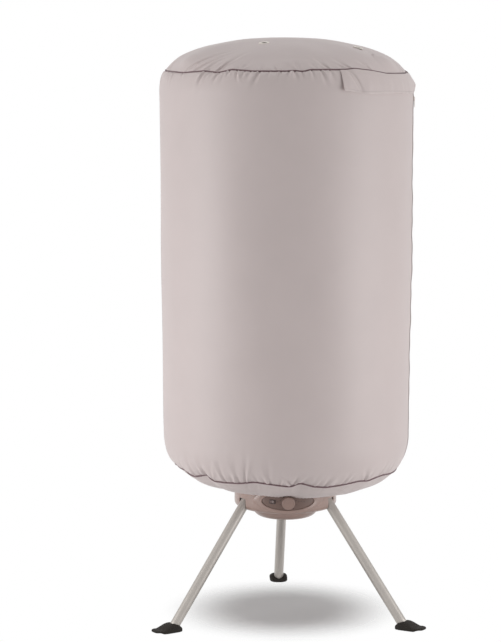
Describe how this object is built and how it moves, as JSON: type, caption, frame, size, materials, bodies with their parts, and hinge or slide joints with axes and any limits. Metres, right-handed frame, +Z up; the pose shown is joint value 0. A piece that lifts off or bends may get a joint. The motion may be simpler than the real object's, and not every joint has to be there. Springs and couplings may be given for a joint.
{
  "type": "portable clothes dryer",
  "caption": "Free-standing round clothes dryer: fan heater base on folding legs, central pole with folding hanger arms, and a zipped nylon cover.",
  "frame": {"origin": "centre of the whole object's box, on the floor that the feet stand on", "axes": "+Z up, front with the controls towards -Y, zip on the +X side"},
  "size_m": [0.6478, 0.6714, 1.394],
  "materials": {
    "nylon": "satin woven nylon",
    "piping": "woven binding",
    "zip": "zip tape",
    "zip_metal": "polished",
    "eyelet": "smooth",
    "shell": "pearl gloss",
    "panel": "gloss",
    "knob": "satin",
    "dark_plastic": "matte",
    "rocker": "gloss",
    "rubber": "matte",
    "aluminium": "satin anodised",
    "steel": "bright",
    "arm": "satin",
    "heat_board": "matte"
  },
  "bodies": {
    "dryer": {"arm_hinge_ring": "steel", "arm_hub": "dark_plastic", "base_lower_shell": "shell", "base_upper_shell": "shell", "bottom_piping": "piping", "control_bezel": "shell", "control_panel": "panel", "cord_gland": "dark_plastic", "cover_back": "nylon", "cover_bottom": "nylon", "cover_dome": "nylon", "cover_front": "nylon", "fan_motor": "steel", "heater_element": "steel", "heater_frame": "heat_board", "hem_elastic": "nylon", "hub_cap": "dark_plastic", "intake_grille": "dark_plastic", "leg_bracket_left": "dark_plastic", "leg_bracket_rear": "dark_plastic", "leg_bracket_right": "dark_plastic", "leg_pin_left": "steel", "leg_pin_rear": "steel", "leg_pin_right": "steel", "motor_bracket": "steel", "outlet_grille": "dark_plastic", "pole_coupler_1": "dark_plastic", "pole_coupler_2": "dark_plastic", "pole_lower": "aluminium", "pole_middle": "aluminium", "pole_socket": "dark_plastic", "pole_upper": "aluminium", "switch_frame": "dark_plastic", "thermostat": "heat_board", "timer_unit": "dark_plastic", "top_piping": "piping", "vent_eyelet_1": "eyelet", "vent_eyelet_2": "eyelet", "vent_eyelet_3": "eyelet", "vent_eyelet_4": "eyelet", "zip_flap": "nylon", "zip_tape": "zip"},
    "leg_left": {"leg_tube_left": "aluminium", "foot_left": "rubber"},
    "leg_right": {"leg_tube_right": "aluminium", "foot_right": "rubber"},
    "leg_rear": {"leg_tube_rear": "aluminium", "foot_rear": "rubber"},
    "timer_knob": {"timer_knob": "knob"},
    "power_rocker": {"power_rocker": "rocker"},
    "fan": {"fan_impeller": "dark_plastic"},
    "zip_slider": {"zip_slider": "zip_metal"},
    "arm_1": {"hanger_arm_1": "arm"},
    "arm_2": {"hanger_arm_2": "arm"},
    "arm_3": {"hanger_arm_3": "arm"},
    "arm_4": {"hanger_arm_4": "arm"},
    "arm_5": {"hanger_arm_5": "arm"},
    "arm_6": {"hanger_arm_6": "arm"}
  },
  "joints": [
    {"name": "leg_left_fold", "type": "hinge", "parent": "dryer", "child": "leg_left", "pos_m": [-0.09353, -0.0897, 0.2967], "axis": [0.5, -0.866, 0], "range_deg": [0, 35.74]},
    {"name": "leg_right_fold", "type": "hinge", "parent": "dryer", "child": "leg_right", "pos_m": [0.09353, -0.0897, 0.2967], "axis": [0.5, 0.866, 0], "range_deg": [0, 35.74]},
    {"name": "leg_rear_fold", "type": "hinge", "parent": "dryer", "child": "leg_rear", "pos_m": [0, 0.0723, 0.2967], "axis": [-1, 0, 0], "range_deg": [0, 35.74]},
    {"name": "timer_turn", "type": "hinge", "parent": "dryer", "child": "timer_knob", "pos_m": [0, -0.1615, 0.3], "axis": [0, 1, 0], "range_deg": [0, 300]},
    {"name": "rocker_tilt", "type": "hinge", "parent": "dryer", "child": "power_rocker", "pos_m": [-0.03687, -0.15263, 0.3015], "axis": [0, 0, 1], "range_deg": [0, 12]},
    {"name": "fan_spin", "type": "hinge", "parent": "dryer", "child": "fan", "pos_m": [0, -0.0357, 0.307], "axis": [0, 0, 1], "continuous": true},
    {"name": "arm_1_fold", "type": "hinge", "parent": "dryer", "child": "arm_1", "pos_m": [0, -0.0672, 1.364], "axis": [1, 0, 0], "range_deg": [0, 80]},
    {"name": "arm_2_fold", "type": "hinge", "parent": "dryer", "child": "arm_2", "pos_m": [0.02728, -0.05145, 1.364], "axis": [0.5, 0.866, 0], "range_deg": [0, 80]},
    {"name": "arm_3_fold", "type": "hinge", "parent": "dryer", "child": "arm_3", "pos_m": [0.02728, -0.01995, 1.364], "axis": [-0.5, 0.866, 0], "range_deg": [0, 80]},
    {"name": "arm_4_fold", "type": "hinge", "parent": "dryer", "child": "arm_4", "pos_m": [0, -0.0042, 1.364], "axis": [-1, 0, 0], "range_deg": [0, 80]},
    {"name": "arm_5_fold", "type": "hinge", "parent": "dryer", "child": "arm_5", "pos_m": [-0.02728, -0.01995, 1.364], "axis": [-0.5, -0.866, 0], "range_deg": [0, 80]},
    {"name": "arm_6_fold", "type": "hinge", "parent": "dryer", "child": "arm_6", "pos_m": [-0.02728, -0.05145, 1.364], "axis": [0.5, -0.866, 0], "range_deg": [0, 80]},
    {"name": "zip_slide", "type": "slide", "parent": "dryer", "child": "zip_slider", "axis": [-0.0061, 0.0006, -1], "range_m": [0, 0.8]}
  ]
}
